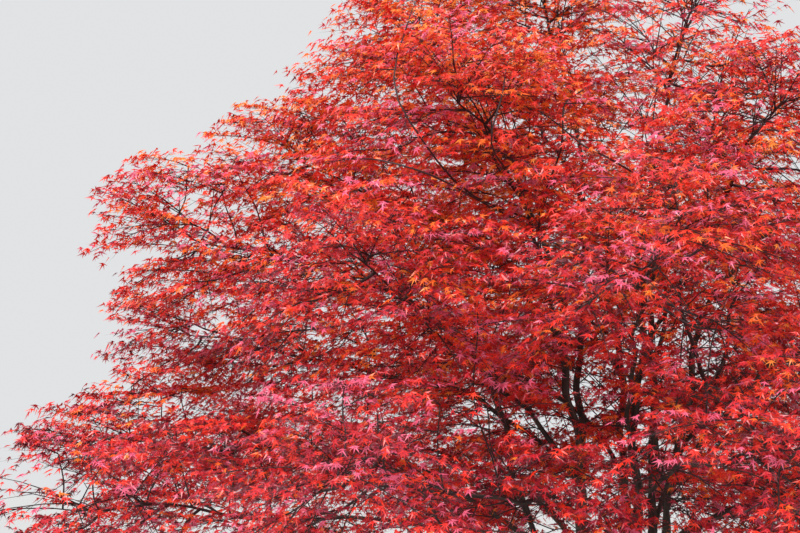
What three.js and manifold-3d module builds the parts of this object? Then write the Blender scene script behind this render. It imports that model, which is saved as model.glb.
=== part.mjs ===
// A Japanese maple in autumn: a short trunk with a root flare, seven stems that part low down,
// boughs that arch out of them, and a tier of red foliage at the tip of each stem and bough.
// Millimetres, +Z up. The origin is the middle of the trunk's foot, at ground level.
// The front is the side that faces -Y. Azimuths are in degrees from +X towards +Y.
import * as THREE from "three";
import { mergeVertices } from "three/addons/utils/BufferGeometryUtils.js";
import Module from "manifold-3d";

const wasm = await Module();
wasm.setup();

// Pieces that touch keep this gap. Flat facets lie nearer a limb's axis than its corners do, so a limb is
// made thicker by skin to cut its neighbours back by the gap.
const gap = 0.3;
const skin = 1.2 * gap;

const trunk = {
  height: 820,
  footRadius: 235,
  waistRadius: 138,
  forkRadius: 172,
  flareHeight: 150,
  flutes: 5,
  fluteDepth: 0.2,
  shoulderFrom: 0.45,
  shoulderTo: 0.8,
  topRounding: 0.93,
  lean: 45,
  sides: 18,
  steps: 10,
};

// What the stems and boughs have in common. A limb's foot grows with the number of tiers that it carries. A
// stem leans out by leanLeast, and by leanPerMetre for each metre that its foliage lies from the axis. Its
// foot is thicker by collar, which fades over collarLength, and its rings crowd towards the foot.
const wood = {
  tipRadius: 10,
  radiusPerTier: 11.5,
  radiusPerMetre: 3,
  curl: 0.38,
  sway: 0.13,
  sides: 6,
  steps: 7,
  stemSteps: 8,
  crowding: 1.5,
  collar: 1.3,
  collarLength: 200,
  stemStart: 0.58,
  stemOffset: 52,
  leanLeast: 0.25,
  leanPerMetre: 0.2,
};

// Each tier is a ring of foliage masses: how far their middles lie from the trunk's axis and how high, how
// steeply they grow outwards, half their width and thickness, how far their twigs roll out of the flat, and
// how far up the parent, as a share of the tier's height above the fork, their boughs spring.
const tiers = {
  low: { reach: 2900, height: 1640, rise: 3, half: 1120, thick: 600, roll: 24, spring: 0.3 },
  second: { reach: 2370, height: 2640, rise: 12, half: 1080, thick: 640, roll: 28, spring: 0.42 },
  third: { reach: 1730, height: 3560, rise: 26, half: 1010, thick: 620, roll: 36, spring: 0.55 },
  upper: { reach: 1060, height: 4330, rise: 46, half: 920, thick: 610, roll: 52, spring: 0.5 },
  top: { reach: 330, height: 4970, rise: 74, half: 880, thick: 600, roll: 45, spring: 0.5 },
};

// Stems leave the trunk at the azimuth foot. Boughs spring from the stem named in from. Each row carries one
// mass of foliage at its tip, out and lift millimetres from its tier's own place.
const limbs = [
  { name: "left_stem", from: "trunk", foot: 184, tier: "second", azimuth: 196, out: 60, lift: 520 },
  { name: "crown_left_stem", from: "trunk", foot: 236, tier: "upper", azimuth: 203, out: 340, lift: 150 },
  { name: "front_stem", from: "trunk", foot: 288, tier: "upper", azimuth: 292, out: 60, lift: 20 },
  { name: "right_stem", from: "trunk", foot: 339, tier: "third", azimuth: 343, out: 60, lift: 60 },
  { name: "back_right_stem", from: "trunk", foot: 31, tier: "upper", azimuth: 22, out: 60, lift: 0 },
  { name: "back_stem", from: "trunk", foot: 82, tier: "upper", azimuth: 108, out: 40, lift: 60 },
  { name: "middle_stem", from: "trunk", foot: 133, tier: "top", azimuth: 160, out: 100, lift: 60 },

  { name: "left_low", from: "left_stem", tier: "low", azimuth: 179, out: 100, lift: 270 },
  { name: "left_front_low", from: "left_stem", tier: "low", azimuth: 207, out: 120, lift: -180 },
  { name: "front_left_low", from: "crown_left_stem", tier: "low", azimuth: 242, out: 0, lift: -40 },
  { name: "front_low", from: "front_stem", tier: "low", azimuth: 277, out: -80, lift: 120 },
  { name: "front_right_low", from: "front_stem", tier: "low", azimuth: 312, out: 0, lift: -120 },
  { name: "right_low", from: "right_stem", tier: "low", azimuth: 348, out: 60, lift: 80 },
  { name: "right_back_low", from: "back_right_stem", tier: "low", azimuth: 24, out: 0, lift: -80 },
  { name: "back_right_low", from: "back_right_stem", tier: "low", azimuth: 61, out: 0, lift: 140 },
  { name: "back_low", from: "back_stem", tier: "low", azimuth: 99, out: -60, lift: -60 },
  { name: "back_left_low", from: "middle_stem", tier: "low", azimuth: 138, out: -40, lift: 300 },

  { name: "front_left_second", from: "crown_left_stem", tier: "second", azimuth: 228, out: 0, lift: 40 },
  { name: "front_second", from: "front_stem", tier: "second", azimuth: 268, out: -60, lift: 60 },
  { name: "front_right_second", from: "right_stem", tier: "second", azimuth: 311, out: 0, lift: -60 },
  { name: "right_second", from: "right_stem", tier: "second", azimuth: 3, out: 40, lift: 80 },
  { name: "back_right_second", from: "back_right_stem", tier: "second", azimuth: 54, out: 0, lift: 0 },
  { name: "back_second", from: "back_stem", tier: "second", azimuth: 112, out: 0, lift: 60 },
  { name: "back_left_second", from: "middle_stem", tier: "second", azimuth: 169, out: 190, lift: -40 },

  { name: "left_third", from: "crown_left_stem", tier: "third", azimuth: 174, out: 120, lift: 190 },
  { name: "front_left_third", from: "crown_left_stem", tier: "third", azimuth: 236, out: 0, lift: 60 },
  { name: "front_right_third", from: "front_stem", tier: "third", azimuth: 296, out: 0, lift: -20 },
  { name: "back_right_third", from: "back_right_stem", tier: "third", azimuth: 58, out: 0, lift: 40 },
  { name: "back_left_third", from: "back_stem", tier: "third", azimuth: 118, out: 0, lift: -40 },
];

// The twigs of one mass, and the leaf-like blades on them. Each blade stands for a whole spray of leaves.
const twigs = {
  inset: 0.62,
  stemRadius: 11,
  radius: 8,
  tipRadius: 5,
  pairs: [0.06, 0.5],
  stagger: 0.08,
  spread: 62,
  spreadLoss: 22,
  wobble: 20,
  least: 60,
  sides: 3,
  droop: 0.16,
};

// A blade at a twig's tip is sunk into it. A blade's first stretch is bare, which is where it may touch its
// twig. It is twisted about its own length and leans up or down by seeded angles, then tries each tilt.
const blade = {
  length: 600,
  width: 400,
  thick: 16,
  widest: 0.45,
  ridge: 0.15,
  tipSunk: 40,
  bare: 40,
  spare: 480,
  least: 300,
  clear: 6,
  sides: [[0.66, 0], [0.33, 180]],
  spread: 50,
  roll: 34,
  twist: 50,
  lean: 30,
  tilts: [0, 14, -14, 28, -28, 44],
};

// The masses share the space between them as if heights counted this much more than widths.
const heightWeight = 1.5;

// Joins and cuts leave slivers, and corners that move the surface by less than this are dropped.
const coarseness = { limb: 0.05, mass: 0.2 };

const bark = new THREE.MeshStandardMaterial({ color: 0x4a3c36, roughness: 0.85, metalness: 0 });
const foliage = new THREE.MeshStandardMaterial({ color: 0xb3121f, roughness: 0.55, metalness: 0 });

const up = new THREE.Vector3(0, 0, 1);
const radians = THREE.MathUtils.degToRad;
const mix = THREE.MathUtils.lerp;

// The horizontal direction at an azimuth, turned upwards by rise.
function heading(azimuth, rise = 0) {
  const a = radians(azimuth);
  const e = radians(rise);
  return new THREE.Vector3(Math.cos(a) * Math.cos(e), Math.sin(a) * Math.cos(e), Math.sin(e));
}

// A repeatable number from 0 to 1 for two whole numbers.
function chance(a, b) {
  const s = Math.sin(a * 12.9898 + b * 78.233) * 43758.5453;
  return s - Math.floor(s);
}

// A level direction square to d.
function sideOf(d) {
  const s = new THREE.Vector3().crossVectors(d, up);
  return s.length() > 0.05 ? s.normalize() : new THREE.Vector3(1, 0, 0);
}

// A closed mesh as a solid that can be joined and cut.
function solid(geometry) {
  geometry.deleteAttribute("normal");
  geometry.deleteAttribute("uv");
  const merged = mergeVertices(geometry, 1e-4);
  const vertProperties = new Float32Array(merged.attributes.position.array);
  const triVerts = new Uint32Array(merged.index.array);
  return new wasm.Manifold(new wasm.Mesh({ numProp: 3, vertProperties, triVerts }));
}

// A solid as a geometry for drawing.
function geometryOf(made) {
  const { vertProperties, triVerts } = made.getMesh();
  const geometry = new THREE.BufferGeometry();
  geometry.setAttribute("position", new THREE.BufferAttribute(vertProperties, 3));
  geometry.setIndex(new THREE.BufferAttribute(triVerts, 1));
  geometry.computeVertexNormals();
  return geometry;
}

// A cylinder bent along a curve, with radiusAt(share of the length, angle round it). The rings crowd towards
// the start where crowding is over 1.
function limbSolid(curve, radiusAt, sides, steps, crowding = 1) {
  const geometry = new THREE.CylinderGeometry(1, 1, 1, sides, steps);
  const place = geometry.attributes.position;
  const side = sideOf(curve.getTangent(0.5));
  for (let i = 0; i < place.count; i++) {
    const t = (place.getY(i) + 0.5) ** crowding;
    const [x, z] = [place.getX(i), place.getZ(i)];
    const along = curve.getTangent(t);
    const across = side.clone().addScaledVector(along, -side.dot(along)).normalize();
    const over = new THREE.Vector3().crossVectors(across, along);
    const r = radiusAt(t, Math.atan2(z, x));
    const p = curve.getPoint(t).addScaledVector(across, x * r).addScaledVector(over, z * r);
    place.setXYZ(i, p.x, p.y, p.z);
  }
  return solid(geometry);
}

// A cubic curve that leaves start along one direction and arrives at end along another.
function archedCurve(start, leave, end, arrive, seed) {
  const length = start.distanceTo(end);
  const side = sideOf(arrive);
  const swayAt = (k) => (chance(seed, k) - 0.5) * 2 * wood.sway * length;
  return new THREE.CubicBezierCurve3(
    start,
    start.clone().addScaledVector(leave, wood.curl * length).addScaledVector(side, swayAt(1)),
    end.clone().addScaledVector(arrive, -wood.curl * length).addScaledVector(side, swayAt(2)),
    end,
  );
}

// The trunk's radius at a share of its height: root flare, waist, and a rounded shoulder under the fork.
function trunkRadius(t, angle) {
  const flare = Math.exp((-t * trunk.height) / trunk.flareHeight);
  const shoulder = THREE.MathUtils.smoothstep(t, trunk.shoulderFrom, trunk.shoulderTo);
  const above = Math.max(0, (t - trunk.shoulderTo) / (1 - trunk.shoulderTo));
  const round = Math.sqrt(1 - trunk.topRounding * above ** 2);
  const plain = trunk.waistRadius + (trunk.footRadius - trunk.waistRadius) * flare;
  const swell = (trunk.forkRadius - trunk.waistRadius) * shoulder;
  return (plain + swell) * round * (1 + trunk.fluteDepth * flare * Math.cos(trunk.flutes * angle));
}

// The trunk's middle line, upright at the ground and at the top, with the lean between.
function trunkLine(height) {
  return new THREE.CubicBezierCurve3(
    new THREE.Vector3(0, 0, 0),
    new THREE.Vector3(0, 0, height / 3),
    new THREE.Vector3(-trunk.lean, 0, (height * 2) / 3),
    new THREE.Vector3(-trunk.lean, 0, height),
  );
}

// Works out where each limb's foliage lies, and the limb's curve and girth.
function layOut(row, seed, laid) {
  const tier = tiers[row.tier];
  const outward = heading(row.azimuth);
  const grow = heading(row.azimuth, tier.rise);
  const middle = outward.clone().multiplyScalar(tier.reach + row.out);
  middle.z = tier.height + row.lift;
  const half = new THREE.Vector3(tier.half, tier.half, tier.thick);
  const depth = 1 / new THREE.Vector3().copy(grow).divide(half).length();
  const tip = middle.clone().addScaledVector(grow, -twigs.inset * depth);
  let start, leave;
  if (row.from === "trunk") {
    const away = heading(row.foot);
    start = trunkLine(trunk.height).getPoint(wood.stemStart).addScaledVector(away, wood.stemOffset);
    const lean = wood.leanLeast + (wood.leanPerMetre * (tier.reach + row.out)) / 1000;
    leave = away.multiplyScalar(lean).add(up).normalize();
  } else {
    const parent = laid.find((l) => l.name === row.from);
    const height = mix(trunk.height, middle.z, tier.spring);
    let t = 0;
    while (parent.curve.getPoint(t).z < height) t += 0.01;
    start = parent.curve.getPoint(t);
    const onwards = tip.clone().sub(start).normalize();
    leave = parent.curve.getTangent(t).add(onwards).normalize();
  }
  const curve = archedCurve(start, leave, tip, grow, seed);
  const carried = 1 + limbs.filter((l) => l.from === row.name).length;
  const metres = curve.getLength() / 1000;
  const foot = wood.radiusPerTier * Math.sqrt(carried) + wood.radiusPerMetre * metres;
  return { ...row, tier, seed, middle, half, grow: curve.getTangent(1), tip, curve, foot };
}

const laid = [];
limbs.forEach((row, i) => laid.push(layOut(row, i + 1, laid)));

// A limb as a solid, thicker all round by extra.
function limbWood(limb, extra = 0) {
  const stem = limb.from === "trunk";
  const collar = stem ? wood.collar : 0;
  const length = limb.curve.getLength();
  const swell = (t) => 1 + collar * Math.exp((-t * length) / wood.collarLength);
  const radiusAt = (t) => mix(limb.foot, wood.tipRadius, t) * swell(t) + extra;
  const steps = stem ? wood.stemSteps : wood.steps;
  return limbSolid(limb.curve, radiusAt, wood.sides, steps, stem ? wood.crowding : 1);
}

// The largest of the separate pieces of a solid.
function mainPiece(made) {
  return made.decompose().reduce((a, b) => (b.volume() > a.volume() ? b : a));
}

// The trunk as a solid, thicker and taller by extra.
function trunkWood(extra = 0) {
  const radiusAt = (t, angle) => trunkRadius(t, angle) + extra;
  return limbSolid(trunkLine(trunk.height + extra), radiusAt, trunk.sides, trunk.steps);
}

const thickTrunk = trunkWood(skin);

// Each limb is cut off where it meets the trunk and the limbs before it.
const limbSolids = [];
for (const limb of laid) {
  const before = laid.slice(0, limbSolids.length).map((other) => limbWood(other, skin));
  const cut = limbWood(limb).subtract(wasm.Manifold.union([thickTrunk, ...before]));
  limbSolids.push(mainPiece(cut).simplify(coarseness.limb));
}

const keepOff = wasm.Manifold.union([thickTrunk, ...laid.map((limb) => limbWood(limb, blade.clear))]);

// How far inside a mass's own space a point lies: under 0 outside its ellipsoid or nearer another's middle.
function roomAt(limb, p) {
  const inside = 1 - p.clone().sub(limb.middle).divide(limb.half).length();
  let room = inside * limb.tier.thick;
  const weighted = (q) => new THREE.Vector3(q.x, q.y, q.z * heightWeight);
  const here = weighted(p).distanceToSquared(weighted(limb.middle));
  for (const other of laid) {
    if (other === limb) continue;
    const apart = weighted(other.middle).distanceTo(weighted(limb.middle));
    const there = weighted(p).distanceToSquared(weighted(other.middle));
    room = Math.min(room, (there - here) / (2 * apart));
  }
  return room;
}

// How far one can go from p along d and stay in the mass's space.
function reachAlong(limb, p, d, most = Infinity) {
  const step = 20;
  let far = 0;
  while (far < most && roomAt(limb, p.clone().addScaledVector(d, far + step)) > 0) far += step;
  return far;
}

// A blade: an eight-faced kite from its root to its tip, turned about its length by twist.
function bladeSolid(root, along, length, twist, extra = 0) {
  const geometry = new THREE.OctahedronGeometry(1, 0);
  const place = geometry.attributes.position;
  const across = sideOf(along).applyAxisAngle(along, radians(twist));
  const over = new THREE.Vector3().crossVectors(across, along);
  const wide = (blade.width * length) / blade.length / 2 + extra;
  for (let i = 0; i < place.count; i++) {
    const [x, y, z] = [place.getX(i), place.getY(i), place.getZ(i)];
    const share = z === 0 ? (y === 0 ? (x + 1) / 2 : blade.widest) : blade.ridge;
    const p = root.clone().addScaledVector(along, share * length);
    p.addScaledVector(across, -y * wide).addScaledVector(over, z * (blade.thick / 2 + extra));
    place.setXYZ(i, p.x, p.y, p.z);
  }
  return solid(geometry);
}

// d turned away from the axis by spread, to the side that roll gives.
function branchOff(axis, spread, roll) {
  const side = sideOf(axis);
  const over = new THREE.Vector3().crossVectors(side, axis);
  const [s, r] = [radians(spread), radians(roll)];
  const out = side.multiplyScalar(Math.cos(r)).addScaledVector(over, Math.sin(r));
  return axis.clone().multiplyScalar(Math.cos(s)).addScaledVector(out, Math.sin(s)).normalize();
}

// The straight line of a twig that sinks a little below the direction along.
function twigLine(start, along, length) {
  const end = start.clone().addScaledVector(along, length).addScaledVector(up, -twigs.droop * length);
  return new THREE.LineCurve3(start, end);
}

// The stem of a mass and its side twigs, and where each blade grows from them.
function layTwigs(limb) {
  const start = limb.tip.clone().addScaledVector(limb.grow, gap);
  const end = start.clone().addScaledVector(limb.grow, reachAlong(limb, start, limb.grow) - blade.spare);
  const stem = new THREE.LineCurve3(start, end);
  const lines = [{ line: stem, foot: twigs.stemRadius }];
  const buds = [{ root: end, along: limb.grow, sunk: blade.tipSunk }];
  twigs.pairs.forEach((t, i) => {
    const wobble = (chance(limb.seed, i) - 0.5) * twigs.wobble;
    const turned = (i % 2 ? -1 : 1) * limb.tier.roll + wobble;
    for (const hand of [0, 180]) {
      const root = stem.getPoint(t + (hand ? twigs.stagger : 0));
      const along = branchOff(limb.grow, twigs.spread - twigs.spreadLoss * t, hand + turned);
      const length = reachAlong(limb, root, along) - blade.spare;
      if (length < twigs.least) {
        buds.push({ root, along, sunk: 0 });
        continue;
      }
      const line = twigLine(root, along, length);
      const onwards = line.getTangent(1);
      lines.push({ line, foot: twigs.radius });
      buds.push({ root: line.getPoint(1), along: onwards, sunk: blade.tipSunk });
      for (const [share, side] of blade.sides) {
        const aside = branchOff(onwards, blade.spread, side + blade.roll);
        buds.push({ root: line.getPoint(share), along: aside, sunk: 0 });
      }
    }
  });
  return { lines, buds };
}

// How far inside the mass's space the outermost corner of a solid lies.
function roomOf(limb, made) {
  const corners = made.getMesh().vertProperties;
  let room = Infinity;
  for (let i = 0; i < corners.length; i += 3) {
    room = Math.min(room, roomAt(limb, new THREE.Vector3(corners[i], corners[i + 1], corners[i + 2])));
  }
  return room;
}

// The foliage at a limb's tip: a stem, side twigs and blades, joined into one solid. A blade that would
// leave the mass's space or meet a limb, a twig or another blade is tilted, and left out if none clears it.
function growMass(limb) {
  const { lines, buds } = layTwigs(limb);
  const pieces = lines
    .map(({ line, foot }) => limbSolid(line, (t) => mix(foot, twigs.tipRadius, t), twigs.sides, 1))
    .filter((twig) => twig.intersect(keepOff).isEmpty());
  let taken = wasm.Manifold.union([keepOff, ...pieces]);
  buds.forEach(({ root, along, sunk }, i) => {
    const twist = (chance(limb.seed, i + 20) - 0.5) * blade.twist;
    const lean = (chance(limb.seed, i + 40) - 0.5) * blade.lean;
    for (const tilt of blade.tilts) {
      const turned = branchOff(along, tilt + lean, 90);
      const length = Math.min(blade.length, reachAlong(limb, root, turned, blade.length));
      if (length < blade.least) continue;
      const beyond = root.clone().addScaledVector(turned, blade.bare);
      const outer = bladeSolid(beyond, turned, length - blade.bare, twist, blade.clear);
      if (roomOf(limb, outer) < gap || !outer.intersect(taken).isEmpty()) continue;
      pieces.push(bladeSolid(root.clone().addScaledVector(turned, -sunk), turned, length + sunk, twist));
      taken = taken.add(outer);
      break;
    }
  });
  return wasm.Manifold.union(pieces);
}

const tree = new THREE.Group();

function addNode(name, made, material) {
  const mesh = new THREE.Mesh(geometryOf(made), material);
  mesh.name = name;
  tree.add(mesh);
}

addNode("trunk", trunkWood(), bark);
laid.forEach((limb, i) => {
  addNode(limb.from === "trunk" ? limb.name : limb.name + "_bough", limbSolids[i], bark);
});
for (const limb of laid) {
  const mass = mainPiece(growMass(limb)).simplify(coarseness.mass);
  addNode(limb.name.replace("_stem", "") + "_foliage", mass, foliage);
}

export default tree;
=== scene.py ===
import math
import time

import bpy
import numpy as np
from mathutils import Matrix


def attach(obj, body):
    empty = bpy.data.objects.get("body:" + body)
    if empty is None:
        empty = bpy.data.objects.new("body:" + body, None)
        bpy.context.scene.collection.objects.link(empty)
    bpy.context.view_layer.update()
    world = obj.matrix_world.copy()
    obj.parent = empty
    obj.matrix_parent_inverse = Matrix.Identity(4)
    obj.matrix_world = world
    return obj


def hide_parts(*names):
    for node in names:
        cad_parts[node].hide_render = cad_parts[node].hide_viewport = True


# A Japanese maple in autumn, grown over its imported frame. Metres, +Z up, front towards -Y.
# The limbs and the masses of foliage follow the rule of the CAD part, and go on to finer twigs and leaves.
started = time.time()
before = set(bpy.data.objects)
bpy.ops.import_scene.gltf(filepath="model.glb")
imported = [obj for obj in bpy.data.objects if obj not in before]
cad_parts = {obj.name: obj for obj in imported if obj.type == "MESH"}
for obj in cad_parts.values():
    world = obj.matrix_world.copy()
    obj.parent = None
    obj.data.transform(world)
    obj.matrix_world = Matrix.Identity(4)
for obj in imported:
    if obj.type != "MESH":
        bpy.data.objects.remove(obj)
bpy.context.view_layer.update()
up = np.array([0.0, 0.0, 1.0])
uprightBelow = 0.05  # a way counts as upright where its level part is shorter than this
dice = np.random.default_rng(11)


def say(words):
    print(f"maple {time.time() - started:6.1f} s  {words}")


# Vectors

def unit(v):  # each vector over its own length
    return v / np.maximum(np.linalg.norm(v, axis=-1, keepdims=True), 1e-9)


def heading(azimuth, rise=0.0):  # (cos a cos e, sin a cos e, sin e)
    a, e = math.radians(azimuth), math.radians(rise)
    return np.array([math.cos(a) * math.cos(e), math.sin(a) * math.cos(e), math.sin(e)])


def chance(a, b):  # the fraction of 43758.5453 sin(12.9898 a + 78.233 b)
    s = math.sin(a * 12.9898 + b * 78.233) * 43758.5453
    return s - math.floor(s)


def sideOf(d):  # d x up as a unit vector, or +X where d stands upright
    s = np.cross(d, up)
    level = np.linalg.norm(s, axis=-1, keepdims=True) > uprightBelow
    return np.where(level, unit(s), np.array([1.0, 0.0, 0.0]))


def branchOff(axis, spread, roll):  # axis cos s + (side cos r + over sin r) sin s
    side = sideOf(axis)
    over = np.cross(side, axis)
    s, r = np.radians(spread), np.radians(roll)
    return unit(axis * np.cos(s) + (side * np.cos(r) + over * np.sin(r)) * np.sin(s))


def bezier(points, t):  # (1-t)^3 a + 3 (1-t)^2 t b + 3 (1-t) t^2 c + t^3 d
    t = np.asarray(t, float)[..., None]
    a, b, c, d = points
    return (1 - t) ** 3 * a + 3 * (1 - t) ** 2 * t * b + 3 * (1 - t) * t ** 2 * c + t ** 3 * d


def bezierSlope(points, t):  # 3 (1-t)^2 (b-a) + 6 (1-t) t (c-b) + 3 t^2 (d-c), as a unit vector
    t = np.asarray(t, float)[..., None]
    a, b, c, d = points
    return unit((1 - t) ** 2 * (b - a) + 2 * (1 - t) * t * (c - b) + t ** 2 * (d - c))


def smoothStep(x, low, high):  # 3 u^2 - 2 u^3 of u, x's share of the way from low to high
    u = np.clip((x - low) / (high - low), 0, 1)
    return u * u * (3 - 2 * u)


waveForm = {"sines": 5, "rates": (0.7, 1.5), "turn": 6.28}


def waves(points, size, seed):  # the mean of sin(2 pi rate (p . way) / size + shift) over seeded ways
    draw = np.random.default_rng(seed)
    total = 0.0
    for _ in range(waveForm["sines"]):
        d = unit(draw.normal(size=3)) * draw.uniform(*waveForm["rates"]) * 2 * math.pi / size
        total = total + np.sin(points @ d + draw.uniform(0, waveForm["turn"]))
    return total / waveForm["sines"]


def anglesAround(sides):  # 2 pi k / sides
    return np.arange(sides) * 2 * math.pi / sides


# Meshes

# Many tubes at once: each is p(t, a) = path(t) + (across cos a + over sin a) radius(t, a), with both ends
# closed by a fan to the path's end point. paths is (tubes, rings, 3), radii (tubes, rings, sides).
def tubeArrays(paths, radii):
    count, rings, sides = radii.shape
    along = unit(np.gradient(paths, axis=1))
    middle = sideOf(along[:, rings // 2])[:, None]
    across = unit(middle - along * np.sum(middle * along, axis=-1, keepdims=True))
    over = np.cross(across, along)
    a = anglesAround(sides)
    ring = across[:, :, None] * np.cos(a)[:, None] + over[:, :, None] * np.sin(a)[:, None]
    walls = paths[:, :, None] + ring * radii[..., None]
    verts = np.concatenate([walls.reshape(count, -1, 3), paths[:, :1], paths[:, -1:]], axis=1)
    k = np.arange(rings * sides).reshape(rings, sides)
    here, there = k[:-1], k[1:]
    quads = np.stack([here, there, np.roll(there, -1, 1), np.roll(here, -1, 1)], -1).reshape(-1, 4)
    foot = np.stack([k[0], np.roll(k[0], -1), np.full(sides, rings * sides)], -1)
    head = np.stack([np.roll(k[-1], -1), k[-1], np.full(sides, rings * sides + 1)], -1)
    shift = (np.arange(count) * verts.shape[1])[:, None, None]
    quads = (quads + shift).reshape(-1, 4)
    ends = (np.concatenate([foot, head]) + shift).reshape(-1, 3)
    return verts.reshape(-1, 3), quads, ends


# Many (vertices, face arrays) as one, with each part's faces shifted by the count of vertices before it
def joinParts(parts):
    counts = np.cumsum([0] + [len(part[0]) for part in parts])
    faces = []
    for k in range(1, len(parts[0])):
        faces.append(np.concatenate([part[k] + count for part, count in zip(parts, counts)]))
    return np.concatenate([part[0] for part in parts]), faces


def putInScene(name, data):  # a new object that shows the data
    thing = bpy.data.objects.new(name, data)
    bpy.context.scene.collection.objects.link(thing)
    return thing


# One mesh object from vertices and index arrays with three or four corners each
def makePiece(name, verts, faceArrays, material, smooth=True):
    mesh = bpy.data.meshes.new(name)
    corners = np.concatenate([f.ravel() for f in faceArrays]).astype(np.int32)
    totals = np.concatenate([np.full(len(f), f.shape[1]) for f in faceArrays]).astype(np.int32)
    starts = np.concatenate([[0], np.cumsum(totals)[:-1]]).astype(np.int32)
    mesh.vertices.add(len(verts))
    mesh.vertices.foreach_set("co", verts.astype(np.float32).ravel())
    mesh.loops.add(len(corners))
    mesh.loops.foreach_set("vertex_index", corners)
    mesh.polygons.add(len(totals))
    mesh.polygons.foreach_set("loop_start", starts)
    mesh.polygons.foreach_set("loop_total", totals)
    mesh.polygons.foreach_set("use_smooth", np.full(len(totals), smooth))
    mesh.update(calc_edges=True)
    mesh.validate()
    mesh.materials.append(material)
    say(f"{name}: {int((totals - 2).sum())} triangles")
    return putInScene(name, mesh)


def giveGrain(piece, grain):  # the grain attribute: where each point lies on its limb made straight
    attribute = piece.data.attributes.new("grain", "FLOAT_VECTOR", "POINT")
    attribute.data.foreach_set("vector", grain.astype(np.float32).ravel())


# Materials

barkLook = {  # a stop is a position and a colour
    "deep": (0.30, (0.016, 0.011, 0.009, 1)), "brown": (0.50, (0.052, 0.037, 0.030, 1)),
    "pale": (0.72, (0.125, 0.100, 0.084, 1)), "lichen": (0.115, 0.120, 0.082, 1),
    "bare": (0.55, (0, 0, 0, 1)), "overgrown": (0.70, (0.6, 0.6, 0.6, 1)),
    "streaks": {"Scale": 34, "Detail": 7, "Roughness": 0.62}, "patches": {"Scale": 5.5, "Detail": 5},
    "roughness": {"To Min": 0.95, "To Max": 0.68}, "bump": {"Strength": 0.55, "Distance": 0.006},
    "stretch": 0.125, "shift": (0.37, 0.21, 0.13),
}


def setSockets(node, values):
    for socket, value in values.items():
        node.inputs[socket].default_value = value


def addNode(tree, kind, values=None):
    node = tree.nodes.new("ShaderNode" + kind)
    setSockets(node, values or {})
    return node


def addRamp(tree, first, last, *between):  # a colour ramp through the stops
    node = addNode(tree, "ValToRGB")
    elements = node.color_ramp.elements
    elements[0].position, elements[0].color = first
    elements[1].position, elements[1].color = last
    for position, colour in between:
        elements.new(position).color = colour
    return node


def linkNodes(tree, *pairs):
    for source, target in pairs:
        tree.links.new(source, target)


def newMaterial(name):  # the material and its shader
    material = bpy.data.materials.new(name)
    material.use_nodes = True
    return material, material.node_tree.nodes["Principled BSDF"]


def barkMaterial():  # noise drawn out along the grain, with lichen where a slower noise is high
    look = barkLook
    material, shader = newMaterial("mapleBark")
    tree = material.node_tree
    grain = addNode(tree, "Attribute")
    grain.attribute_name = "grain"
    streaks = addNode(tree, "TexNoise", look["streaks"])
    tones = addRamp(tree, look["deep"], look["pale"], look["brown"])
    patches = addNode(tree, "TexNoise", look["patches"])
    where = addRamp(tree, look["bare"], look["overgrown"])
    both = addNode(tree, "Mix")
    both.data_type = "RGBA"
    setSockets(both, {"B": look["lichen"]})
    rough = addNode(tree, "MapRange", look["roughness"])
    bump = addNode(tree, "Bump", look["bump"])
    linkNodes(
        tree,
        (grain.outputs["Vector"], streaks.inputs["Vector"]),
        (grain.outputs["Vector"], patches.inputs["Vector"]),
        (streaks.outputs["Fac"], tones.inputs["Fac"]),
        (patches.outputs["Fac"], where.inputs["Fac"]),
        (where.outputs["Color"], both.inputs["Factor"]),
        (tones.outputs["Color"], both.inputs["A"]),
        (both.outputs["Result"], shader.inputs["Base Color"]),
        (streaks.outputs["Fac"], rough.inputs["Value"]),
        (rough.outputs["Result"], shader.inputs["Roughness"]),
        (streaks.outputs["Fac"], bump.inputs["Height"]),
        (bump.outputs["Normal"], shader.inputs["Normal"]),
    )
    return material


# One colour all over, given as it shows on a screen from 0 to 255: linear = ((c + 0.055) / 1.055)^2.4
def plainMaterial(name, red, green, blue, roughness, sheen=0.5):
    screen = np.array([red, green, blue]) / 255
    linear = np.where(screen <= 0.04045, screen / 12.92, ((screen + 0.055) / 1.055) ** 2.4)
    material, shader = newMaterial(name)
    setSockets(shader, {"Base Color": (*linear, 1), "Roughness": roughness, "Specular IOR Level": sheen})
    return material


# Limbs

trunk = {
    "height": 0.82, "footRadius": 0.235, "waistRadius": 0.138, "forkRadius": 0.172, "flareHeight": 0.15,
    "flutes": 5, "fluteDepth": 0.2, "shoulderFrom": 0.45, "shoulderTo": 0.8, "topRounding": 0.93,
    "lean": 0.045,
}
wood = {
    "tipRadius": 0.010, "radiusPerTier": 0.0115, "radiusPerMetre": 0.003, "curl": 0.38, "sway": 0.13,
    "collar": 1.3, "collarLength": 0.2, "stemStart": 0.58, "stemOffset": 0.052, "leanLeast": 0.25,
    "leanPerMetre": 0.2, "ringStep": 0.028, "sides": 16, "lineSteps": 201, "forkSteps": (0, 1.001, 0.01),
}
tiers = {  # reach, height, rise, half width, half thickness, roll of the twigs, spring of the boughs
    "low": (2.90, 1.64, 3, 1.12, 0.60, 24, 0.3),
    "second": (2.37, 2.64, 12, 1.08, 0.64, 28, 0.42),
    "third": (1.73, 3.56, 26, 1.01, 0.62, 36, 0.55),
    "upper": (1.06, 4.33, 46, 0.92, 0.61, 52, 0.5),
    "top": (0.33, 4.97, 74, 0.88, 0.60, 45, 0.5),
}
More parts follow.
